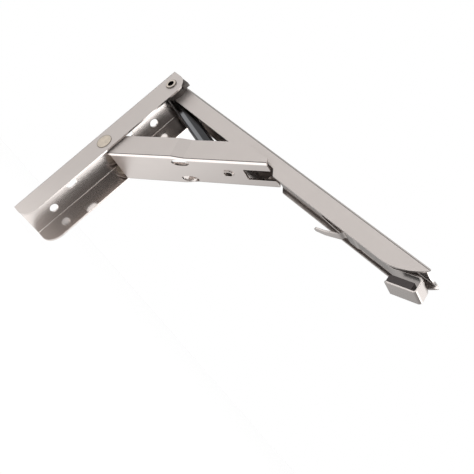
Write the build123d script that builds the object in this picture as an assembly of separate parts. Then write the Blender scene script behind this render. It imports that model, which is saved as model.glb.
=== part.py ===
from build123d import *
from math import acos, atan2, cos, degrees, hypot, radians, sin, tan
import os

# Folding shelf bracket. Millimetres. The wall plane is X = 0, +X points out along the open shelf arm,
# +Z is up, and the origin is the middle of the wall channel's top edge on the wall plane.
os.makedirs("parts", exist_ok=True)

# Sheet and fits
SHEET = 1.5
BEND_INSIDE = 0.6
THIN_SHEET = 1.2
RUNNING = 0.05
FACE_GAP = 0.05

# Wall channel
WALL_LENGTH = 165.0
WALL_DEPTH = 22.5
WALL_TOP_RADIUS = 11.0
WALL_FOOT_RADIUS = 14.0
SCREW_HOLE_RADIUS = 3.6
SCREW_HOLE_OFFSET = 7.4
SCREW_HOLE_FROM_TOP = 37.3
SCREW_HOLE_FROM_FOOT = 22.3
SCREW_SLOT_WIDTH = 7.0
SCREW_SLOT_LENGTH = 10.0
SCREW_SLOT_FROM_TOP = 60.5
SCREW_SLOT_FROM_FOOT = 45.5

# Main hinge at the top of the wall channel
HINGE_OUT = 11.5
HINGE_DROP = 10.0
HINGE_PIN_RADIUS = 3.4
HINGE_PIN_BORE = 2.6
HINGE_HEAD_RADIUS = 4.6
HINGE_HEAD_THICK = 1.0
HINGE_HEAD_ROUND = 0.6
BUSH_WEB_GAP = 0.4
BUSH_LUG_OUT = 10.3
BUSH_LUG_UP = 9.8
BUSH_LUG_TALL = 5.3

# Shelf arm
ARM_REACH = 300.0
ARM_WIDTH = 20.0
ARM_HEIGHT = 14.5
ARM_DROP = 1.5
ARM_WEB_START = 2.5
ARM_END_SWEEP = 32.0
ARM_END_SCOOP = 6.0
SHELF_HOLE_RADIUS = 2.75
SHELF_HOLE_FIRST = 40.0
SHELF_HOLE_LAST_BACK = 95.0
SHELF_HOLES = 4
NOTCH_LENGTH = 14.2
NOTCH_DEPTH = 4.7
NOTCH_ROUND = 1.5
NOTCH_AHEAD = 3.7
NOTCH_RAMP = 5.6

# Strut
STRUT_ANGLE = 30.1
STRUT_PIVOT_OUT = 12.0
STRUT_PIVOT_DROP = 79.5
STRUT_PIVOT_BACK = 9.6
STRUT_PIVOT_UP = 10.2
STRUT_LENGTH = 140.0
STRUT_HEIGHT = 18.7
STRUT_WIDE = 30.8
STRUT_NARROW = 27.2
STRUT_EASE_START = 57.5
STRUT_EASE_END = 68.5
STRUT_END_LEAN = 1.2
STRUT_END_RISE = 5.0
SIDE_SLOT_AT = 64.0
SIDE_SLOT_OFFSET = 9.35
SIDE_SLOT_SIZE = (16.0, 7.0)
SIDE_SLOT_RISE = 3.0
OBLONG_AT = 102.3
OBLONG_SIZE = (7.0, 4.2)
OBLONG_RIM = 1.0
OBLONG_RIM_RISE = 0.7
FORK_AT = 117.0
FORK_WIDTH = 11.0
FORK_ROUND = 1.0

# Strut pivot rivets
STRUT_RIVET_RADIUS = 4.0
STRUT_RIVET_HEAD = 6.4
STRUT_RIVET_PROUD = 0.35
STRUT_RIVET_INSIDE = 6.0
STRUT_RIVET_INSIDE_THICK = 1.2
STRUT_WASHER_RADIUS = 7.5
STRUT_WASHER_THICK = 1.05

# Inner link
LINK_ANGLE = 10.2
LINK_LOW = 9.1
LINK_TALL = 8.8
LINK_WIDTH = 16.2
LINK_WEB_SHORT = 10.3
LINK_EAR_RADIUS = 6.0
LINK_PIN_RADIUS = 1.5
LINK_PIN_EAR = 2.9
LINK_ROLLER_RADIUS = 3.2
LINK_ROLLER_GAP = 0.1
LINK_LEAN = 1.6
LINK_LIP_IN = 2.0
LINK_LIP_RISE = 2.0
LINK_LIP_START = 12.0
LINK_TAIL_RADIUS = 9.75

# Release lever: a strip, its lanced catch leaf and its thumb tab, measured from the arm's outer end and top
LEVER_SHEET = 1.2
LEVER_WIDTH = 11.0
TAB_WIDTH = 13.0
LEVER_RUN = (
    (-144.0, -12.4),
    (-97.0, -12.4),
    (-83.0, -13.1),
    (-71.0, -13.1),
    (-67.5, -13.65),
    (-60.5, -13.65),
    (-58.0, -13.2),
    (-22.5, -13.3),
    (-2.6, -7.3),
    (0.3, -15.9),
    (-19.4, -21.75),
)
LEVER_BENDS = (30.0, 30.0, 2.0, 6.0, 6.0, 6.0, 40.0, 2.5, 1.0)
LEAF_RUN = (
    (-91.7, -22.9),
    (-83.4, -20.8),
    (-72.3, -16.3),
    (-71.0, -13.1),
    (-68.3, -13.524),
)
LEAF_BENDS = (14.0, 3.0, 1.6)
LEAF_TIP_WIDTH = 3.6
LEAF_ROOT_WIDTH = 6.0
LEAF_WINDOW = (-97.0, -69.75)
LEAF_WINDOW_WIDTH = 6.6
LEVER_PIVOT_BACK = 50.0
LEVER_PIVOT_DROP = 7.5
LEVER_PIN_RADIUS = 1.5
LEVER_EAR_RADIUS = 3.0
SADDLE_LENGTH = 14.0
SADDLE_WIDTH = 14.4
SADDLE_DROP = 9.0
SADDLE_RIVET_SPREAD = 9.0
SMALL_RIVET_RADIUS = 1.4
SMALL_RIVET_HEAD = 2.4
SMALL_RIVET_THICK = 0.9
SPRING_SHEET = 0.8
SPRING_WIDTH = 8.0
SPRING_START_BACK = 18.0
SPRING_FLAT = 8.0
SPRING_TIP_BACK = 35.0
SPRING_FOOT = 3.0
SPRING_BENDS = (2.5, 2.0)
TAB_FILL_LENGTH = 17.3
TAB_FILL_TALL = 5.0
TAB_FILL_INSET = 0.3
TAB_FILL_ROUND = 2.5

HINGE = (HINGE_OUT, -HINGE_DROP)
STRUT_PIVOT = (STRUT_PIVOT_OUT, -STRUT_PIVOT_DROP)
ARM_TOP = -ARM_DROP
ARM_EDGE = ARM_TOP - ARM_HEIGHT
ARM_INSIDE = ARM_WIDTH / 2 - SHEET
ARM_CEILING = ARM_TOP - SHEET
WALL_INSIDE = STRUT_WIDE / 2 + FACE_GAP + STRUT_WASHER_THICK
WALL_WIDTH = 2 * (WALL_INSIDE + SHEET)
LEVER_POINTS = tuple((ARM_REACH + x, ARM_TOP + z) for x, z in LEVER_RUN)
LEAF_POINTS = tuple((ARM_REACH + x, ARM_TOP + z) for x, z in LEAF_RUN)
STRIP_END = LEVER_POINTS[7]
LEVER_PIVOT = (ARM_REACH - LEVER_PIVOT_BACK, ARM_TOP - LEVER_PIVOT_DROP)
SPRING_START = ARM_REACH - SPRING_START_BACK
SPRING_TIP = ARM_REACH - SPRING_TIP_BACK


def side(sketch, half):
    """Solid with a side outline drawn in X and Z, reaching half to each side of the middle."""
    return extrude(Plane.XZ * sketch, amount=half, both=True)


def plan(sketch, low, high):
    """Solid with an outline drawn in X and Y, between two heights."""
    return extrude(Plane.XY.offset(low) * sketch, amount=high - low, dir=(0, 0, 1))


def barrel(centre, radius, near, far):
    """Round bar along Y, from near to far, centred on an X, Z point."""
    shape = Pos(centre[0], near, centre[1]) * Rot(-90, 0, 0)
    return shape * Cylinder(radius, far - near, align=(Align.CENTER, Align.CENTER, Align.MIN))


def disc(x, z, radius):
    return Pos(x, z) * Circle(radius)


def mirrored(shape):
    return shape + mirror(shape, Plane.XZ)


def channel_section(width, height, sheet, inside):
    """U section, its web along the first axis and its flanges along the second."""
    outer = Rectangle(width, height, align=(Align.CENTER, Align.MIN))
    outer = fillet(outer.vertices().sort_by(Axis.Y)[:2], inside + sheet)
    inner = Pos(0, sheet) * Rectangle(width - 2 * sheet, height, align=(Align.CENTER, Align.MIN))
    inner = fillet(inner.vertices().sort_by(Axis.Y)[:2], inside)
    return outer - inner


def bent_path(points, radii):
    """Centre line of a bent strip: straight runs joined by tangent bends."""
    edges = []
    last = Vector(*points[0])
    for before, corner, after, radius in zip(points, points[1:], points[2:], radii):
        corner = Vector(*corner)
        into = (corner - Vector(*before)).normalized()
        away = (Vector(*after) - corner).normalized()
        turn = radians(into.get_angle(away))
        reach = radius * tan(turn / 2)
        start = corner - into * reach
        end = corner + away * reach
        inward = (away - into).normalized()
        middle = corner + inward * (radius / cos(turn / 2) - radius)
        if (start - last).length > 0.01:
            edges.append(Line(last, start))
        edges.append(ThreePointArc(start, middle, end))
        last = end
    edges.append(Line(last, Vector(*points[-1])))
    return Wire(edges)


def strip_profile(points, radii, sheet):
    """Side outline of a bent strip whose lower face follows the given points."""
    return make_face(bent_path(points, radii).offset_2d(sheet, side=Side.LEFT).edges())


def tangent_point(corner, centre, radius, turn):
    """Point where a line from the corner touches a circle, on the side that turn picks."""
    across = (corner[0] - centre[0], corner[1] - centre[1])
    angle = atan2(across[1], across[0]) + turn * acos(radius / hypot(*across))
    return (centre[0] + radius * cos(angle), centre[1] + radius * sin(angle))


def local_frame(origin, angle):
    """Frame whose first axis leans up from X by an angle and whose third axis stays in X and Z."""
    lean = radians(angle)
    return Plane(
        origin=(origin[0], 0, origin[1]), x_dir=(cos(lean), 0, sin(lean)), z_dir=(-sin(lean), 0, cos(lean))
    )


# Wall channel: web on the wall, two flanges standing out, rounded at the hinge and at the foot
def make_wall_channel():
    section = channel_section(WALL_WIDTH, WALL_DEPTH, SHEET, BEND_INSIDE)
    shape = extrude(Plane(origin=(0, 0, 0), x_dir=(0, 1, 0), z_dir=(0, 0, -1)) * section, WALL_LENGTH)
    flank = Pos(WALL_DEPTH / 2, -WALL_LENGTH / 2) * Rectangle(WALL_DEPTH, WALL_LENGTH)
    free = flank.vertices().group_by(Axis.X)[-1].sort_by(Axis.Y)
    flank = fillet(free[-1], WALL_TOP_RADIUS)
    free = flank.vertices().group_by(Axis.X)[-1].sort_by(Axis.Y)
    flank = fillet(free[0], WALL_FOOT_RADIUS)
    shape &= side(flank, WALL_WIDTH)
    shape -= barrel(HINGE, HINGE_PIN_RADIUS + RUNNING, -WALL_WIDTH, WALL_WIDTH)
    shape -= barrel(STRUT_PIVOT, STRUT_RIVET_RADIUS + RUNNING, -WALL_WIDTH, WALL_WIDTH)
    for height in (-SCREW_HOLE_FROM_TOP, SCREW_HOLE_FROM_FOOT - WALL_LENGTH):
        through = Cylinder(SCREW_HOLE_RADIUS, 4 * SHEET, rotation=(0, 90, 0))
        shape -= Pos(0, SCREW_HOLE_OFFSET, height) * through
    for height in (-SCREW_SLOT_FROM_TOP, SCREW_SLOT_FROM_FOOT - WALL_LENGTH):
        mouth = Plane(origin=(0, 0, height), x_dir=(0, 0, 1), z_dir=(1, 0, 0))
        shape -= extrude(mouth * SlotOverall(SCREW_SLOT_LENGTH, SCREW_SLOT_WIDTH), 2 * SHEET, both=True)
    return shape


# Tubular hinge pin with a rolled head at each end
def make_hinge_pin():
    reach = WALL_WIDTH / 2
    shape = barrel(HINGE, HINGE_PIN_RADIUS, -reach, reach)
    for near, far in ((-reach - HINGE_HEAD_THICK, -reach), (reach, reach + HINGE_HEAD_THICK)):
        head = barrel(HINGE, HINGE_HEAD_RADIUS, near, far)
        outer = head.edges().sort_by(Axis.Y)[-1 if near > 0 else 0]
        shape += fillet(outer, HINGE_HEAD_ROUND)
    return shape - barrel(HINGE, HINGE_PIN_BORE, -2 * reach, 2 * reach)


# Bush that fills the space between a wall flange and the arm, with a lug that shows past the flange's corner
def make_hinge_bush(sign):
    inner = ARM_WIDTH / 2 + FACE_GAP
    seat = (inner + WALL_INSIDE) / 2
    shape = barrel(HINGE, HINGE_OUT - SHEET - BUSH_WEB_GAP, inner, WALL_INSIDE)
    lug = Pos(HINGE_OUT, BUSH_LUG_UP - HINGE_DROP) * Rectangle(
        BUSH_LUG_OUT, BUSH_LUG_TALL, align=(Align.MIN, Align.MAX)
    )
    shape += extrude(Plane.XZ.offset(-seat) * lug, WALL_INSIDE - seat, dir=(0, 1, 0))
    shape -= barrel(HINGE, HINGE_PIN_RADIUS + RUNNING, 0, WALL_WIDTH)
    return shape if sign > 0 else mirror(shape, Plane.XZ)


# Shelf arm: an inverted channel with hinge ears, lock notches and a swept outer end
def arm_flank():
    ear = HINGE_DROP - ARM_DROP
    length = ARM_REACH - HINGE_OUT
    flank = Pos(HINGE_OUT + length / 2, ARM_TOP - ARM_HEIGHT / 2) * Rectangle(length, ARM_HEIGHT)
    flank += disc(HINGE[0], HINGE[1], ear)
    rise = ARM_HEIGHT - SHEET
    sweep = (ARM_END_SWEEP**2 + rise**2) / (2 * rise)
    start = ARM_REACH - ARM_END_SWEEP
    corner = Pos((start + ARM_REACH) / 2 + 1, ARM_EDGE + rise / 2) * Rectangle(ARM_END_SWEEP + 2, rise)
    return flank - (corner - disc(start, ARM_EDGE + sweep, sweep))


def lock_notch():
    """Opening in a flange edge that takes the end of the strut, with a ramp on its outer side."""
    front = strut_tip()[0] + NOTCH_AHEAD
    back = front - NOTCH_LENGTH
    top = ARM_EDGE + NOTCH_DEPTH
    outline = Polygon(
        (back, ARM_EDGE - 1),
        (back, top),
        (front, top),
        (front + NOTCH_RAMP, ARM_EDGE),
        (front + NOTCH_RAMP, ARM_EDGE - 1),
        align=None,
    )
    return fillet(outline.vertices().group_by(Axis.Y)[-1], NOTCH_ROUND)


def make_shelf_arm():
    section = channel_section(ARM_WIDTH, ARM_HEIGHT + 4, SHEET, BEND_INSIDE)
    shape = extrude(Plane(origin=(0, 0, ARM_TOP), x_dir=(0, -1, 0), z_dir=(1, 0, 0)) * section, ARM_REACH)
    shape &= side(arm_flank(), ARM_WIDTH)
    web_cut = HINGE_OUT + ARM_WEB_START
    shape -= Box(web_cut, 2 * ARM_INSIDE, 60, align=(Align.MIN, Align.CENTER, Align.CENTER))
    shape -= side(lock_notch(), ARM_WIDTH)
    scoop = ((ARM_WIDTH / 2) ** 2 + ARM_END_SCOOP**2) / (2 * ARM_END_SCOOP)
    shape -= plan(Pos(ARM_REACH - ARM_END_SCOOP + scoop, 0) * Circle(scoop), ARM_EDGE, ARM_TOP + 1)
    shape -= barrel(HINGE, HINGE_PIN_RADIUS + RUNNING, -ARM_WIDTH, ARM_WIDTH)
    step = (ARM_REACH - SHELF_HOLE_LAST_BACK - SHELF_HOLE_FIRST) / (SHELF_HOLES - 1)
    for index in range(SHELF_HOLES):
        shape -= Pos(SHELF_HOLE_FIRST + index * step, 0, ARM_TOP) * Cylinder(SHELF_HOLE_RADIUS, 8)
    for x in rivet_places():
        shape -= Pos(x, 0, ARM_TOP) * Cylinder(SMALL_RIVET_RADIUS + RUNNING, 8)
    return shape


def rivet_places():
    half = SADDLE_RIVET_SPREAD / 2
    return (LEVER_PIVOT[0] - half, LEVER_PIVOT[0] + half, SPRING_START - SPRING_FLAT / 2)


# Strut: a channel that straddles the arm, eased narrower at its side slots
def strut_origin():
    lean = radians(STRUT_ANGLE)
    x = STRUT_PIVOT[0] + STRUT_PIVOT_BACK * cos(lean) + STRUT_PIVOT_UP * sin(lean)
    z = STRUT_PIVOT[1] + STRUT_PIVOT_BACK * sin(lean) - STRUT_PIVOT_UP * cos(lean)
    return (x, z)


def strut_tip():
    lean = radians(STRUT_ANGLE)
    x, z = strut_origin()
    return (x + STRUT_LENGTH * cos(lean), z + STRUT_LENGTH * sin(lean))


def strut_plan(inset, back):
    wide = STRUT_WIDE / 2 - inset
    narrow = STRUT_NARROW / 2 - inset
    return Polygon(
        (back, wide),
        (STRUT_EASE_START, wide),
        (STRUT_EASE_END, narrow),
        (STRUT_LENGTH, narrow),
        (STRUT_LENGTH, -narrow),
        (STRUT_EASE_END, -narrow),
        (STRUT_EASE_START, -wide),
        (back, -wide),
        align=None,
    )


def strut_flank():
    pivot = (-STRUT_PIVOT_BACK, STRUT_PIVOT_UP)
    ear = STRUT_HEIGHT - STRUT_PIVOT_UP
    end = (STRUT_LENGTH - STRUT_END_LEAN, STRUT_END_RISE)
    high = end[0] - (STRUT_HEIGHT - end[1]) / tan(radians(STRUT_ANGLE))
    outline = Polygon(
        (0, 0),
        (STRUT_LENGTH, 0),
        end,
        (high, STRUT_HEIGHT),
        (pivot[0], STRUT_HEIGHT),
        tangent_point((0, 0), pivot, ear, -1),
        align=None,
    )
    return outline + disc(pivot[0], pivot[1], ear)


def make_strut():
    back = -2 * STRUT_PIVOT_BACK
    outer = plan(strut_plan(0, back), 0, STRUT_HEIGHT)
    low = outer.edges().group_by(Axis.Z)[0].filter_by(lambda e: abs(e.center().Y) > 5)
    outer = fillet(low, BEND_INSIDE + SHEET)
    inner = plan(strut_plan(SHEET, back - 1), SHEET, STRUT_HEIGHT + 1)
    inner += Pos(STRUT_LENGTH, 0, SHEET) * Box(
        2, STRUT_NARROW - 2 * SHEET, STRUT_HEIGHT, align=(Align.CENTER, Align.CENTER, Align.MIN)
    )
    low = inner.edges().group_by(Axis.Z)[0].filter_by(lambda e: abs(e.center().Y) > 5 and e.length > 5)
    inner = fillet(low, BEND_INSIDE)
    shape = (outer - inner) & side(strut_flank(), STRUT_WIDE)
    inside = STRUT_WIDE / 2 - SHEET
    shape -= Box(-back, 2 * inside, 60, align=(Align.MAX, Align.CENTER, Align.CENTER))
    for sign in (-1, 1):
        mouth = Pos(SIDE_SLOT_AT, sign * SIDE_SLOT_OFFSET) * Ellipse(SIDE_SLOT_SIZE[0] / 2, SIDE_SLOT_SIZE[1] / 2)
        shape -= plan(mouth, -1, SIDE_SLOT_RISE)
    fork = Pos(FORK_AT + STRUT_LENGTH / 2, 0) * Rectangle(STRUT_LENGTH, FORK_WIDTH)
    fork = fillet(fork.vertices().group_by(Axis.X)[0], FORK_ROUND)
    shape -= plan(fork, -1, STRUT_HEIGHT)
    oblong = Pos(OBLONG_AT, 0) * SlotOverall(*OBLONG_SIZE)
    rim = Pos(OBLONG_AT, 0) * SlotOverall(OBLONG_SIZE[0] + 2 * OBLONG_RIM, OBLONG_SIZE[1] + 2 * OBLONG_RIM)
    shape += plan(rim, -OBLONG_RIM_RISE, SHEET / 2)
    shape -= plan(oblong, -2, SHEET + 1)
    shape -= barrel((-STRUT_PIVOT_BACK, STRUT_PIVOT_UP), STRUT_RIVET_RADIUS + RUNNING, -STRUT_WIDE, STRUT_WIDE)
    return local_frame(strut_origin(), STRUT_ANGLE).location * shape


# Short rivet and washer that carry one ear of the strut
def make_strut_rivet(sign):
    outside = WALL_WIDTH / 2
    inside = STRUT_WIDE / 2 - SHEET - FACE_GAP
    shape = barrel(STRUT_PIVOT, STRUT_RIVET_RADIUS, inside - STRUT_RIVET_INSIDE_THICK, outside)
    shape += barrel(STRUT_PIVOT, STRUT_RIVET_HEAD, outside, outside + STRUT_RIVET_PROUD)
    shape += barrel(STRUT_PIVOT, STRUT_RIVET_INSIDE, inside - STRUT_RIVET_INSIDE_THICK, inside)
    return shape if sign > 0 else mirror(shape, Plane.XZ)


def make_strut_washer(sign):
    inner = STRUT_WIDE / 2 + FACE_GAP
    shape = barrel(STRUT_PIVOT, STRUT_WASHER_RADIUS, inner, WALL_INSIDE)
    shape -= barrel(STRUT_PIVOT, STRUT_RIVET_RADIUS + RUNNING, 0, WALL_WIDTH)
    return shape if sign > 0 else mirror(shape, Plane.XZ)


# Inner link: a small channel on the hinge pin whose roller follows the strut
def link_section():
    """Section of the link: a U whose sides lean in above their middle and end in lips leaning in further."""
    half = LINK_WIDTH / 2
    knee = LINK_TALL / 2
    brow = half - LINK_LEAN
    lip = brow - LINK_LIP_IN
    high = LINK_TALL + LINK_LIP_RISE
    outer = Polygon(
        (-half, 0), (-half, knee), (-brow, LINK_TALL), (-lip, high), (lip, high), (brow, LINK_TALL), (half, knee),
        (half, 0), align=None,
    )
    floor = half - THIN_SHEET
    slant = THIN_SHEET / sin(atan2(LINK_LIP_RISE, LINK_LIP_IN))
    inner = Polygon(
        (-floor, THIN_SHEET),
        (-floor, knee),
        (-brow + THIN_SHEET, LINK_TALL - THIN_SHEET / 2),
        (-lip + slant, high + 0.01),
        (lip - slant, high + 0.01),
        (brow - THIN_SHEET, LINK_TALL - THIN_SHEET / 2),
        (floor, knee),
        (floor, THIN_SHEET),
        align=None,
    )
    outer = fillet(outer.vertices().sort_by(Axis.Y)[:2], BEND_INSIDE + THIN_SHEET)
    return outer - inner


def link_pin_reach():
    """Distance along the link from the hinge to its pin, so that the roller just clears the strut's web."""
    lean = radians(LINK_ANGLE)
    tilt = radians(STRUT_ANGLE)
    foot = strut_origin()
    up = LINK_TALL / 2 - LINK_LOW
    height = (HINGE[1] - foot[1]) * cos(tilt) - (HINGE[0] - foot[0]) * sin(tilt)
    wanted = SHEET + LINK_ROLLER_RADIUS + LINK_ROLLER_GAP
    return (height + up * cos(lean + tilt) - wanted) / sin(lean + tilt)


def make_inner_link():
    low = -LINK_LOW
    reach = link_pin_reach()
    web_end = reach - LINK_WEB_SHORT
    pin = (reach, low + LINK_TALL / 2)
    section = Plane(origin=(0, 0, low), x_dir=(0, 1, 0), z_dir=(1, 0, 0)) * link_section()
    body = extrude(section, reach + LINK_PIN_EAR, dir=(1, 0, 0))
    clear = LINK_WIDTH / 2 - THIN_SHEET
    body -= Pos(web_end, 0, 0) * Box(60, 2 * clear, 60, align=(Align.MIN, Align.CENTER, Align.CENTER))
    bar = Pos(reach / 2, pin[1]) * Rectangle(reach, LINK_TALL)
    slope = Polygon(
        (web_end, low - 1), tangent_point((web_end, low), pin, LINK_PIN_EAR, 1),
        (reach + 9, pin[1] - 1), (reach + 9, low - 1), align=None,
    )
    bar = bar - slope + disc(pin[0], pin[1], LINK_PIN_EAR)
    lips = Rectangle(web_end - LINK_LIP_START, LINK_LIP_RISE + 1, align=(Align.MIN, Align.MIN))
    bar += Pos(LINK_LIP_START, low + LINK_TALL - 1) * lips
    body &= side(bar, LINK_WIDTH)
    cheek = Plane.XZ.offset(-clear) * (disc(0, 0, LINK_EAR_RADIUS) + link_neck())
    cheek = extrude(cheek, THIN_SHEET, dir=(0, 1, 0))
    body += mirrored(cheek)
    body &= side(disc(0, 0, LINK_TAIL_RADIUS) + Pos(80, 0) * Rectangle(160, 60), LINK_WIDTH)
    body -= barrel((0, 0), HINGE_PIN_RADIUS + RUNNING, -LINK_WIDTH, LINK_WIDTH)
    body -= barrel(pin, LINK_PIN_RADIUS + RUNNING, -LINK_WIDTH, LINK_WIDTH)
    return local_frame(HINGE, -LINK_ANGLE).location * body


def link_neck():
    """Part of the link's cheek that joins its pivot ear to its long body."""
    reach = LINK_EAR_RADIUS
    return Polygon(
        (-reach, 0), (reach, 0), (2.2 * reach, LINK_TALL / 2 - LINK_LOW), (2.2 * reach, BEND_INSIDE + THIN_SHEET - LINK_LOW),
        (-reach, BEND_INSIDE + THIN_SHEET - LINK_LOW), align=None,
    )


def link_pin_centre():
    lean = radians(LINK_ANGLE)
    up = LINK_TALL / 2 - LINK_LOW
    reach = link_pin_reach()
    return (HINGE[0] + reach * cos(lean) + up * sin(lean), HINGE[1] - reach * sin(lean) + up * cos(lean))


def make_link_pin():
    reach = LINK_WIDTH / 2
    return barrel(link_pin_centre(), LINK_PIN_RADIUS, -reach, reach)


def make_link_roller():
    reach = LINK_WIDTH / 2 - LINK_LEAN - THIN_SHEET - 2 * FACE_GAP
    shape = barrel(link_pin_centre(), LINK_ROLLER_RADIUS, -reach, reach)
    return shape - barrel(link_pin_centre(), LINK_PIN_RADIUS + RUNNING, -2 * reach, 2 * reach)


# Release lever: one strip with a catch leaf lanced out of it and a hooked thumb tab
def symmetric(upper):
    """Outline in X and Y made of its upper points and their mirror images."""
    lower = tuple((x, -y) for x, y in reversed(upper))
    return Polygon(*upper, *lower, align=None)


def lever_strip():
    broad, tab = LEVER_WIDTH / 2, TAB_WIDTH / 2
    first = LEVER_POINTS[0][0]
    widen = STRIP_END[0]
    outline = symmetric(((first - 1, broad), (widen, broad), (widen + 4, tab), (ARM_REACH + 9, tab)))
    shape = side(strip_profile(LEVER_POINTS, LEVER_BENDS, LEVER_SHEET), TAB_WIDTH)
    shape &= plan(outline, -60, 20)
    start, end = (ARM_REACH + x for x in LEAF_WINDOW)
    window = Pos((start + end) / 2, 0) * Rectangle(end - start, LEAF_WINDOW_WIDTH)
    window = fillet(window.vertices().group_by(Axis.X)[0], 1.0)
    return shape - plan(window, STRIP_END[1] - 4, STRIP_END[1] + 4)


def lever_leaf():
    tip, root = LEAF_TIP_WIDTH / 2, LEAF_ROOT_WIDTH / 2
    first = LEAF_POINTS[0][0]
    outline = symmetric(((first + tip, tip), (LEAF_POINTS[2][0], root), (ARM_REACH, root)))
    outline += disc(first + tip, 0, tip)
    return side(strip_profile(LEAF_POINTS, LEAF_BENDS, LEVER_SHEET), TAB_WIDTH) & plan(outline, -60, 20)


def make_release_lever():
    shape = lever_strip() + lever_leaf()
    ear_foot = STRIP_END[1]
    ear = Polygon(
        (LEVER_PIVOT[0] - 2 * LEVER_EAR_RADIUS, ear_foot), (LEVER_PIVOT[0] - LEVER_EAR_RADIUS, LEVER_PIVOT[1]),
        (LEVER_PIVOT[0] + LEVER_EAR_RADIUS, LEVER_PIVOT[1]), (LEVER_PIVOT[0] + 2 * LEVER_EAR_RADIUS, ear_foot),
        align=None,
    ) + disc(LEVER_PIVOT[0], LEVER_PIVOT[1], LEVER_EAR_RADIUS)
    ear = extrude(Plane.XZ.offset(-LEVER_WIDTH / 2) * ear, LEVER_SHEET, dir=(0, -1, 0))
    shape += mirrored(ear)
    return shape - barrel(LEVER_PIVOT, LEVER_PIN_RADIUS + RUNNING, -LEVER_WIDTH, LEVER_WIDTH)


def make_tab_insert():
    end = LEVER_POINTS[-1]
    corner = LEVER_POINTS[-2]
    lean = degrees(atan2(corner[1] - end[1], corner[0] - end[0]))
    block = Pos(TAB_FILL_LENGTH / 2 + TAB_FILL_INSET, TAB_FILL_TALL / 2) * Rectangle(
        TAB_FILL_LENGTH, TAB_FILL_TALL
    )
    block = fillet(block.vertices().group_by(Axis.X)[0].sort_by(Axis.Y)[-1], TAB_FILL_ROUND)
    return local_frame(end, lean).location * side(block, TAB_WIDTH / 2 - TAB_FILL_INSET)


# Saddle, pin and spring that carry the release lever inside the arm
def make_lever_saddle():
    section = channel_section(SADDLE_WIDTH, SADDLE_DROP + LEVER_EAR_RADIUS, LEVER_SHEET, BEND_INSIDE)
    start = LEVER_PIVOT[0] - SADDLE_LENGTH / 2
    frame = Plane(origin=(start, 0, ARM_CEILING), x_dir=(0, -1, 0), z_dir=(1, 0, 0))
    shape = extrude(frame * section, SADDLE_LENGTH)
    flank = Pos(LEVER_PIVOT[0], ARM_CEILING - SADDLE_DROP / 2) * Rectangle(SADDLE_LENGTH, SADDLE_DROP)
    flank = fillet(flank.vertices().group_by(Axis.Y)[0], 3.0)
    shape &= side(flank, SADDLE_WIDTH)
    shape -= barrel(LEVER_PIVOT, LEVER_PIN_RADIUS + RUNNING, -SADDLE_WIDTH, SADDLE_WIDTH)
    for x in rivet_places()[:2]:
        shape -= Pos(x, 0, ARM_CEILING) * Cylinder(SMALL_RIVET_RADIUS + RUNNING, 8)
    return shape


def make_lever_pin():
    reach = SADDLE_WIDTH / 2 + (ARM_INSIDE - SADDLE_WIDTH / 2) / 2
    return barrel(LEVER_PIVOT, LEVER_PIN_RADIUS, -reach, reach)


def make_small_rivet(x, sheet):
    """Flush rivet through the arm's web, with its head under a fitted sheet."""
    seat = ARM_CEILING - sheet
    shank = Pos(x, 0, ARM_TOP) * Cylinder(
        SMALL_RIVET_RADIUS, ARM_TOP - seat, align=(Align.CENTER, Align.CENTER, Align.MAX)
    )
    head = Pos(x, 0, seat) * Cylinder(
        SMALL_RIVET_HEAD, SMALL_RIVET_THICK, align=(Align.CENTER, Align.CENTER, Align.MAX)
    )
    return shank + head


def make_lever_spring():
    high = ARM_CEILING - SPRING_SHEET
    rest = STRIP_END[1] + LEVER_SHEET + FACE_GAP
    bend = SPRING_START - SPRING_FLAT
    points = ((SPRING_TIP, rest), (SPRING_TIP + SPRING_FOOT, rest), (bend, high), (SPRING_START, high))
    shape = side(strip_profile(points, SPRING_BENDS, SPRING_SHEET), SPRING_WIDTH / 2)
    return shape - Pos(rivet_places()[2], 0, ARM_CEILING) * Cylinder(SMALL_RIVET_RADIUS + RUNNING, 4)


def export_all():
    first, second, third = rivet_places()
    parts = {
        "wall_channel": make_wall_channel(),
        "hinge_pin": make_hinge_pin(),
        "hinge_bush_near": make_hinge_bush(-1),
        "hinge_bush_far": make_hinge_bush(1),
        "shelf_arm": make_shelf_arm(),
        "strut": make_strut(),
        "strut_rivet_near": make_strut_rivet(-1),
        "strut_rivet_far": make_strut_rivet(1),
        "strut_washer_near": make_strut_washer(-1),
        "strut_washer_far": make_strut_washer(1),
        "inner_link": make_inner_link(),
        "link_pin": make_link_pin(),
        "link_roller": make_link_roller(),
        "release_lever": make_release_lever(),
        "tab_insert": make_tab_insert(),
        "lever_saddle": make_lever_saddle(),
        "lever_pin": make_lever_pin(),
        "saddle_rivet_inner": make_small_rivet(first, LEVER_SHEET),
        "saddle_rivet_outer": make_small_rivet(second, LEVER_SHEET),
        "lever_spring": make_lever_spring(),
        "spring_rivet": make_small_rivet(third, SPRING_SHEET),
    }
    for name, shape in parts.items():
        export_step(shape, f"parts/{name}.step")


export_all()
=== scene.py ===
import bpy
from mathutils import Matrix, Vector


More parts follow.
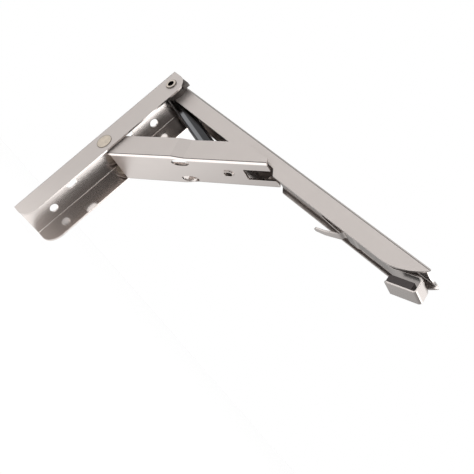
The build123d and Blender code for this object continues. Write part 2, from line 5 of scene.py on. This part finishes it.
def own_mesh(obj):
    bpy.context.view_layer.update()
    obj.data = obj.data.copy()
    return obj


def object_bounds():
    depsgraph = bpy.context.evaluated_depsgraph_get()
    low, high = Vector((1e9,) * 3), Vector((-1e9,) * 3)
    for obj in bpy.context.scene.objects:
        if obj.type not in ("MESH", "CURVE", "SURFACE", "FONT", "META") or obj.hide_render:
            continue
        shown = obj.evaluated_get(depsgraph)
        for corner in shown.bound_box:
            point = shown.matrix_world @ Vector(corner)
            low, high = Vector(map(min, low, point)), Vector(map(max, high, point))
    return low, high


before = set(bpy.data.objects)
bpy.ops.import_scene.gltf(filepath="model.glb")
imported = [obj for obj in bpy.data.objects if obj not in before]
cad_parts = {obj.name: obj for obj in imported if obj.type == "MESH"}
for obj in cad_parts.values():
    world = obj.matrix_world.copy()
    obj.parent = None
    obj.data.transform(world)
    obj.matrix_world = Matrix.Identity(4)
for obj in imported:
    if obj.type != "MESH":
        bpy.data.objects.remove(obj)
cad_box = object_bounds()

# All lengths are in metres, but for those that say mm. Colours are as they are seen, in sRGB.

# The photograph's view: where the lens stands, and its right, up and back directions
LENS_MM = 68.9
SENSOR_MM = 36.0
LENS_NEAREST = 0.01
LENS_AT = (0.59122, -0.43637, -0.13458)
LENS_RIGHT = (0.5356, 0.3967, 0.7455)
LENS_UP = (-0.4841, -0.5790, 0.6560)
LENS_BACK = (0.6919, -0.7123, -0.1181)

# Floor just under the bracket. The lens and the lamps see through it, because the folded arm
# reaches below it, and it keeps a faint share of the shadow. The lift makes that share white.
FLOOR_GAP = 0.004
FLOOR_SIZE = 12.0
FLOOR_WHITE = "#f4f3f2"
SHADOW_SHARE = 0.08
FLOOR_LIFT = 0.24

# What gloss sees of the floor: a bright pool, and a dim level far from it
POOL_AT = (0.03, -0.06, 0.0)
POOL_SPREAD = 0.15
POOL_BRIGHT = 1.7
POOL_TOP = 1.25
FLOOR_FAR = 0.27

# What gloss sees of the room: its level, less overhead, and three soft patches. Each has the way
# to its middle and its share of the level. The first two are dim, behind the lens and the wall.
ROOM_BRIGHT = 1.52
OVERHEAD = 0.45
OVERHEAD_FROM = 0.2
OVERHEAD_FULL = 0.7
ROOM_PATCHES = (
    ((0.70, -0.70, 0.14), 0.08),
    ((-0.90, 0.42, 0.05), 0.25),
    ((0.69, 0.71, 0.12), 1.45),
)
PATCH_EDGE = 0.5
PATCH_CORE = 0.88

# Plain soft light: an even room and two large lamps
SOFT_LIGHT = 0.75
LAMP_SIZE = 1.2
LAMP_AIM = (0.12, 0.0, -0.08)
KEY_AT = (0.9, -1.2, 0.9)
KEY_WATTS = 14.0
FILL_AT = (1.4, 0.4, 0.3)
FILL_WATTS = 6.0

# How a sheet's face turns, from 0, where it faces in from its own flank, past 0.5, where it is the
# web, to 1, where it faces straight out. These are the turns at which one finish gives way to the next.
INSIDE_TO = 0.2
WEB_FROM = 0.42
WEB_TO = 0.56
BEND_FROM = 0.64
BEND_TO = 0.978
FLANK_FROM = 0.992

# Roughness of the satin outer flanks and of the polished bends
SATIN = 0.55
POLISHED = 0.14

# Tone by turn, painted on: a painted highlight along the inner bend, and a painted highlight and a
# painted dark line of shade along the outer one
BEND_PAINTED_HIGHLIGHT_TONES = (
    (0.05, 1.0), (0.12, 1.7), (0.38, 1.7), (0.46, 1.0),
    (0.58, 1.0), (0.7, 1.6), (0.93, 1.6), (0.955, 0.4), (0.985, 0.4), (0.994, 1.0),
)

# Size of one patch in each pattern. Rolled sheet is cloudy over about 17 mm. The mottle of a tumbled
# part and the grain of a moulding are under 0.3 mm, less than a pixel, so they are drawn coarser here.
CLOUD_MM = 16.67
MOTTLE_MM = 2.38
GRAIN_MM = 1.111
CLOUD_DETAIL = 3.0
GRAIN_DETAIL = 2.0

# Tones that the patches of a pattern run between, and the strength and depth of the moulded grain
CLOUD_TONES = {"From Min": 0.3, "From Max": 0.7, "To Min": 0.985, "To Max": 1.01}
MOTTLE_TONES = {"From Min": 0.3, "From Max": 0.7, "To Min": 0.92, "To Max": 1.08}
GRAIN_STRENGTH = 0.05
GRAIN_DEPTH = 0.0001

# How far a worn edge is rounded: a cut sheet, a tumbled strip and a small part
CUT_EDGE = 0.00025
TUMBLED_EDGE = 0.0005
SMALL_EDGE = 0.0002

# Rays that look for a worn edge on a sheet and on a small part
SHEET_SAMPLES = 8
SMALL_SAMPLES = 6

# Darker ring along the rim of a head: its tone, and its start and its end inside the head's radius
RIM_DARK_TONE = 0.35
RIM_DARK_START = 0.0005
RIM_DARK_FULL = 0.0002

# What is kept of a place when it is seen side on, and from above
SIDE_ON = (1, 0, 1)
FROM_ABOVE = (1, 1, 0)

# Centres of the hinge and of the strut's pivot, side on, and the radii of their heads
HINGE_CENTRE = (0.0115, 0.0, -0.010)
HINGE_HEAD = 0.0046
STRUT_PIVOT = (0.012, 0.0, -0.0795)
STRUT_HEAD = 0.0064

ROOM_WHITE = "#ffffff"
BRIGHT_SHEET = "#cbc4c0"
# The link's colour is a darkened stainless grey: painted shade, for the link deep inside the arm
LINK_SHADED_SHEET = "#67686a"
ROLLED_HEAD = "#aaa198"
HEAD_STEEL = "#cdc2b4"
PIN_STEEL = "#8a8178"
SPRING_STEEL = "#7d7d7e"
# Dark brown colour of the hinge bush: painted shade, for the dark crescent at the hinge
BUSH_PAINTED_SHADE = "#3a3430"
# Darker colour of the tab insert: painted shade, for the dark inside of the hollow tab
INSERT_PAINTED_SHADE = "#2a2221"


def linear(text):
    """Linear colour from an sRGB hex value."""
    parts = [int(text[i : i + 2], 16) / 255 for i in (1, 3, 5)]
    return tuple(c / 12.92 if c <= 0.04045 else ((c + 0.055) / 1.055) ** 2.4 for c in parts) + (1.0,)


def node(tree, kind, inputs=None, stops=(), **settings):
    """Adds one node with its settings, links and grey stops. An input is a value or a socket."""
    made = tree.nodes.new(kind)
    for name, value in settings.items():
        setattr(made, name, value)
    for name, value in (inputs or {}).items():
        if isinstance(value, bpy.types.NodeSocket):
            tree.links.new(value, made.inputs[name])
        else:
            made.inputs[name].default_value = value
    for _ in stops[2:]:
        made.color_ramp.elements.new(1.0)
    for index, (at, level) in enumerate(stops):
        made.color_ramp.elements[index].position = at
        made.color_ramp.elements[index].color = (level, level, level, 1.0)
    return made


def new_material(name):
    """Empty node material and its tree."""
    material = bpy.data.materials.new(name)
    material.use_nodes = True
    material.node_tree.nodes.clear()
    return material, material.node_tree


def bare_metal(tree, shade, roughness, edge, samples):
    """Metal with the default IOR, whose worn edges catch the light."""
    worn = node(tree, "ShaderNodeBevel", {"Radius": edge}, samples=samples)
    inputs = {"Base Color": shade, "Roughness": roughness, "Normal": worn.outputs["Normal"]}
    shader = node(tree, "ShaderNodeBsdfPrincipled", {"Metallic": 1.0, **inputs})
    node(tree, "ShaderNodeOutputMaterial", {"Surface": shader.outputs["BSDF"]})


def stainless_sheet(name, colour, satin=SATIN, web=0.3, inner=POLISHED, edge=CUT_EDGE):
    """Bent sheet: satin flanks, polished bends with a painted highlight and a painted dark line of shade,
    and a web and inside of their own roughness.
    """
    material, tree = new_material(name)
    coordinates = node(tree, "ShaderNodeTexCoord").outputs
    across = node(tree, "ShaderNodeSeparateXYZ", {0: coordinates["Object"]}).outputs["Y"]
    facing = node(tree, "ShaderNodeSeparateXYZ", {0: coordinates["Normal"]}).outputs["Y"]
    flank = node(tree, "ShaderNodeMath", {0: across}, operation="SIGN").outputs["Value"]
    outward = node(tree, "ShaderNodeMath", {0: flank, 1: facing}, operation="MULTIPLY").outputs["Value"]
    span = {"Value": outward, "From Min": -1.0, "From Max": 1.0}
    turn = node(tree, "ShaderNodeMapRange", span).outputs["Result"]
    rolled = {"Vector": coordinates["Object"], "Scale": 1000 / CLOUD_MM, "Detail": CLOUD_DETAIL}
    cloud = node(tree, "ShaderNodeTexNoise", rolled).outputs["Fac"]
    tone = node(tree, "ShaderNodeMapRange", {"Value": cloud, **CLOUD_TONES}).outputs["Result"]
    tint = {"Fac": 1.0, "Color1": linear(colour), "Color2": tone}
    cloudy = node(tree, "ShaderNodeMixRGB", tint, blend_type="MULTIPLY").outputs["Color"]
    # Painted highlight and shade along the bends, set by how far the face has turned
    painted_bend_light = node(tree, "ShaderNodeValToRGB", {"Fac": turn}, BEND_PAINTED_HIGHLIGHT_TONES).outputs["Color"]
    tint = {"Fac": 1.0, "Color1": cloudy, "Color2": painted_bend_light}
    shade = node(tree, "ShaderNodeMixRGB", tint, blend_type="MULTIPLY").outputs["Color"]
    finishes = (
        (INSIDE_TO, inner), (WEB_FROM, web), (WEB_TO, web),
        (BEND_FROM, POLISHED), (BEND_TO, POLISHED), (FLANK_FROM, satin),
    )
    roughness = node(tree, "ShaderNodeValToRGB", {"Fac": turn}, finishes).outputs["Color"]
    bare_metal(tree, shade, roughness, edge, SHEET_SAMPLES)
    return material


def small_steel(name, colour, roughness=0.35, centre=None, head=None):
    """Small pressed or turned part, a little uneven in tone, darker in a ring along a head's rim."""
    material, tree = new_material(name)
    place = node(tree, "ShaderNodeTexCoord").outputs["Object"]
    tumbled = {"Vector": place, "Scale": 1000 / MOTTLE_MM, "Detail": CLOUD_DETAIL}
    mottle = node(tree, "ShaderNodeTexNoise", tumbled).outputs["Fac"]
    tone = node(tree, "ShaderNodeMapRange", {"Value": mottle, **MOTTLE_TONES}).outputs["Result"]
    tint = {"Fac": 1.0, "Color1": linear(colour), "Color2": tone}
    shade = node(tree, "ShaderNodeMixRGB", tint, blend_type="MULTIPLY").outputs["Color"]
    if centre:
        kept = {0: place, 1: SIDE_ON}
        flat = node(tree, "ShaderNodeVectorMath", kept, operation="MULTIPLY").outputs["Vector"]
        ends = {0: flat, 1: centre}
        away = node(tree, "ShaderNodeVectorMath", ends, operation="DISTANCE").outputs["Value"]
        span = {"Value": away, "From Min": head - RIM_DARK_START, "From Max": head - RIM_DARK_FULL}
        span.update({"To Min": 1.0, "To Max": RIM_DARK_TONE})
        rim_dark = node(tree, "ShaderNodeMapRange", span).outputs["Result"]
        tint = {"Fac": 1.0, "Color1": shade, "Color2": rim_dark}
        shade = node(tree, "ShaderNodeMixRGB", tint, blend_type="MULTIPLY").outputs["Color"]
    bare_metal(tree, shade, roughness, SMALL_EDGE, SMALL_SAMPLES)
    return material


def moulded_nylon(name, colour, roughness=0.45):
    """Satin moulding with a fine even grain."""
    material, tree = new_material(name)
    place = node(tree, "ShaderNodeTexCoord").outputs["Object"]
    moulded = {"Vector": place, "Scale": 1000 / GRAIN_MM, "Detail": GRAIN_DETAIL}
    grain = node(tree, "ShaderNodeTexNoise", moulded).outputs["Fac"]
    heights = {"Strength": GRAIN_STRENGTH, "Distance": GRAIN_DEPTH, "Height": grain}
    bump = node(tree, "ShaderNodeBump", heights).outputs["Normal"]
    inputs = {"Base Color": linear(colour), "Roughness": roughness, "Normal": bump}
    shader = node(tree, "ShaderNodeBsdfPrincipled", inputs)
    node(tree, "ShaderNodeOutputMaterial", {"Surface": shader.outputs["BSDF"]})
    return material


def dress(material, *names):
    """Gives CAD nodes a material."""
    for name in names:
        for slot in bpy.data.objects[name].material_slots:
            slot.material = material


def dress_all():
    """Gives every CAD node the finish that its real part shows, but for painted highlights and shade
    along the sheets' bends, and painted shade in the colours of the link, the hinge bush and the tab
    insert.
    """
    # Rolled stainless, satin outside: an even pale flank, and a web that mirrors its holes in streaks
    wall = stainless_sheet("satin_stainless_wall", BRIGHT_SHEET, web=0.24, inner=0.14)
    dress(wall, "wall_channel")
    # The same sheet with a duller web, which fades from light to mid grey along its length
    strut = stainless_sheet("satin_stainless_strut", BRIGHT_SHEET, web=0.32, inner=0.16)
    dress(strut, "strut")
    # Duller still inside, where the arm is dark and shows nothing sharp
    arm = stainless_sheet("satin_stainless_arm", BRIGHT_SHEET, web=0.42, inner=0.3)
    dress(arm, "shelf_arm", "lever_saddle")
    # Polished all over, so it mirrors the dim room, and with its colour darkened, painted shade, so that
    # it stands out dark between the two pale sheets
    link = stainless_sheet("polished_stainless_link", LINK_SHADED_SHEET, satin=0.12, web=0.12, inner=0.12)
    dress(link, "inner_link")
    # Tumbled strip: bright, with soft edges that catch the light along the leaf and the tab
    tumbled = {"satin": 0.35, "web": 0.2, "edge": TUMBLED_EDGE}
    strip = stainless_sheet("tumbled_stainless_strip", BRIGHT_SHEET, **tumbled)
    dress(strip, "release_lever")
    # Pressed head, matt and warm in tone, flush in its hole, and darker in a thin ring along its rim
    pressed = small_steel("pressed_steel_head", HEAD_STEEL, 0.5, centre=STRUT_PIVOT, head=STRUT_HEAD)
    dress(pressed, "strut_rivet_near", "strut_rivet_far")
    # Rolled head, smoother: a bright ring round a dark bore
    rolled = small_steel("rolled_steel_head", ROLLED_HEAD, 0.22, centre=HINGE_CENTRE, head=HINGE_HEAD)
    dress(rolled, "hinge_pin")
    # Tumbled steel, a dull brownish grey
    dull = small_steel("tumbled_steel", PIN_STEEL)
    dress(dull, "strut_washer_near", "strut_washer_far", "lever_pin", "saddle_rivet_inner")
    dress(dull, "saddle_rivet_outer", "spring_rivet", "link_pin", "link_roller")
    # Rolled spring steel, a cool grey with a soft shine
    dress(small_steel("rolled_spring_steel", SPRING_STEEL, 0.3), "lever_spring")
    # Moulding, dark brown with a broad soft highlight; its dark colour is painted shade, for the crescent
    # at the hinge
    dress(moulded_nylon("dark_hinge_bush_painted_shade", BUSH_PAINTED_SHADE), "hinge_bush_near", "hinge_bush_far")
    # Darker moulding, painted shade for the dark inside of the hollow tab, so that the tab reads as a
    # hollow hook
    dress(moulded_nylon("dark_tab_insert_painted_shade", INSERT_PAINTED_SHADE), "tab_insert")


def rays(tree):
    """Tells rays from the lens or through clear parts, rays off gloss, and rays towards a lamp."""
    path = node(tree, "ShaderNodeLightPath").outputs
    either = {0: path["Is Camera Ray"], 1: path["Is Transmission Ray"]}
    straight = node(tree, "ShaderNodeMath", either, operation="MAXIMUM").outputs["Value"]
    return straight, path["Is Glossy Ray"], path["Is Shadow Ray"]


def pool_level(tree):
    """Level of the floor's bright pool, which falls off with distance from its middle."""
    place = node(tree, "ShaderNodeTexCoord").outputs["Object"]
    kept = {0: place, 1: FROM_ABOVE}
    flat = node(tree, "ShaderNodeVectorMath", kept, operation="MULTIPLY").outputs["Vector"]
    ends = {0: flat, 1: POOL_AT}
    away = node(tree, "ShaderNodeVectorMath", ends, operation="DISTANCE").outputs["Value"]
    square = node(tree, "ShaderNodeMath", {0: away, 1: away}, operation="MULTIPLY").outputs["Value"]
    widened = {0: square, 1: POOL_SPREAD**-2, 2: 1.0}
    spread = node(tree, "ShaderNodeMath", widened, operation="MULTIPLY_ADD").outputs["Value"]
    fall = node(tree, "ShaderNodeMath", {0: POOL_BRIGHT, 1: spread}, operation="DIVIDE").outputs["Value"]
    pool = node(tree, "ShaderNodeMath", {0: fall, 1: FLOOR_FAR}, operation="ADD").outputs["Value"]
    return node(tree, "ShaderNodeMath", {0: pool, 1: POOL_TOP}, operation="MINIMUM").outputs["Value"]


def floor_material():
    """Pale floor: a faint shadow to the lens and the lamps, which see through it, and a pool to gloss."""
    material, tree = new_material("painted_pale_floor")
    straight, gloss, shadow = rays(tree)
    pale = node(tree, "ShaderNodeBsdfDiffuse", {"Color": linear(FLOOR_WHITE)}).outputs["BSDF"]
    clear = node(tree, "ShaderNodeBsdfTransparent").outputs["BSDF"]
    lift = node(tree, "ShaderNodeEmission", {"Strength": FLOOR_LIFT}).outputs["Emission"]
    lifted = node(tree, "ShaderNodeAddShader", {0: pale, 1: lift}).outputs["Shader"]
    faint = node(tree, "ShaderNodeMixShader", {0: SHADOW_SHARE, 1: clear, 2: lifted}).outputs["Shader"]
    pool = node(tree, "ShaderNodeEmission", {"Strength": pool_level(tree)}).outputs["Emission"]
    solid = node(tree, "ShaderNodeMixShader", {0: gloss, 1: pale, 2: pool}).outputs["Shader"]
    through = node(tree, "ShaderNodeMath", {0: straight, 1: shadow}, operation="MAXIMUM").outputs["Value"]
    surface = node(tree, "ShaderNodeMixShader", {0: through, 1: solid, 2: faint}).outputs["Shader"]
    node(tree, "ShaderNodeOutputMaterial", {"Surface": surface})
    return material


def lay_floor():
    """Flat floor a little under the open bracket."""
    low = min(cad_box[0][2], cad_box[1][2]) - FLOOR_GAP
    half = FLOOR_SIZE / 2
    corners = [(-half, -half, low), (half, -half, low), (half, half, low), (-half, half, low)]
    mesh = bpy.data.meshes.new("floor")
    mesh.from_pydata(corners, [], [(0, 1, 2, 3)])
    mesh.materials.append(floor_material())
    floor = bpy.data.objects.new("floor", mesh)
    bpy.context.scene.collection.objects.link(floor)


def room_level(tree):
    """Level of the room as gloss sees it, by the way that a ray goes."""
    way = node(tree, "ShaderNodeTexCoord").outputs["Generated"]
    high = node(tree, "ShaderNodeSeparateXYZ", {0: way}).outputs["Z"]
    span = {"Value": high, "From Min": OVERHEAD_FROM, "From Max": OVERHEAD_FULL}
    span.update({"To Min": ROOM_BRIGHT, "To Max": ROOM_BRIGHT * OVERHEAD})
    level = node(tree, "ShaderNodeMapRange", span, interpolation_type="SMOOTHSTEP").outputs["Result"]
    for centre, share in ROOM_PATCHES:
        ways = {0: way, 1: centre}
        toward = node(tree, "ShaderNodeVectorMath", ways, operation="DOT_PRODUCT").outputs["Value"]
        span = {"Value": toward, "From Min": PATCH_EDGE, "From Max": PATCH_CORE}
        span.update({"To Min": 1.0, "To Max": share})
        patch = node(tree, "ShaderNodeMapRange", span, interpolation_type="SMOOTHSTEP").outputs["Result"]
        level = node(tree, "ShaderNodeMath", {0: level, 1: patch}, operation="MULTIPLY").outputs["Value"]
    return level


def light_world():
    """Even soft light, a plain white background for the lens, and the room for gloss."""
    world = bpy.data.worlds.new("studio")
    bpy.context.scene.world = world
    world.use_nodes = True
    tree = world.node_tree
    tree.nodes.clear()
    straight, gloss, _ = rays(tree)
    white = linear(ROOM_WHITE)
    even = {"Color": white, "Strength": SOFT_LIGHT}
    soft = node(tree, "ShaderNodeBackground", even).outputs["Background"]
    varied = {"Color": white, "Strength": room_level(tree)}
    room = node(tree, "ShaderNodeBackground", varied).outputs["Background"]
    blank = {"Color": white, "Strength": 1.0}
    plain = node(tree, "ShaderNodeBackground", blank).outputs["Background"]
    light = node(tree, "ShaderNodeMixShader", {0: gloss, 1: soft, 2: room}).outputs["Shader"]
    surface = node(tree, "ShaderNodeMixShader", {0: straight, 1: light, 2: plain}).outputs["Shader"]
    node(tree, "ShaderNodeOutputWorld", {"Surface": surface})


def soft_lamp(name, at, watts):
    """Large round lamp that faces the bracket."""
    lamp = bpy.data.lights.new(name, "AREA")
    lamp.shape = "DISK"
    lamp.size = LAMP_SIZE
    lamp.energy = watts
    holder = bpy.data.objects.new(name, lamp)
    holder.location = at
    holder.rotation_euler = (Vector(LAMP_AIM) - Vector(at)).to_track_quat("-Z", "Y").to_euler()
    bpy.context.scene.collection.objects.link(holder)


def set_camera():
    """Camera at the photograph's own place and angle."""
    camera = bpy.data.cameras.new("camera")
    camera.lens = LENS_MM
    camera.sensor_width = SENSOR_MM
    camera.clip_start = LENS_NEAREST
    holder = bpy.data.objects.new("camera", camera)
    turn = Matrix((LENS_RIGHT, LENS_UP, LENS_BACK)).transposed()
    holder.matrix_world = Matrix.Translation(LENS_AT) @ turn.to_4x4()
    bpy.context.scene.collection.objects.link(holder)
    bpy.context.scene.camera = holder


dress_all()
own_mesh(bpy.data.objects["lever_spring"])
lay_floor()
light_world()
soft_lamp("key_light", KEY_AT, KEY_WATTS)
soft_lamp("fill_light", FILL_AT, FILL_WATTS)
set_camera()
bpy.context.scene.view_settings.view_transform = "Standard"
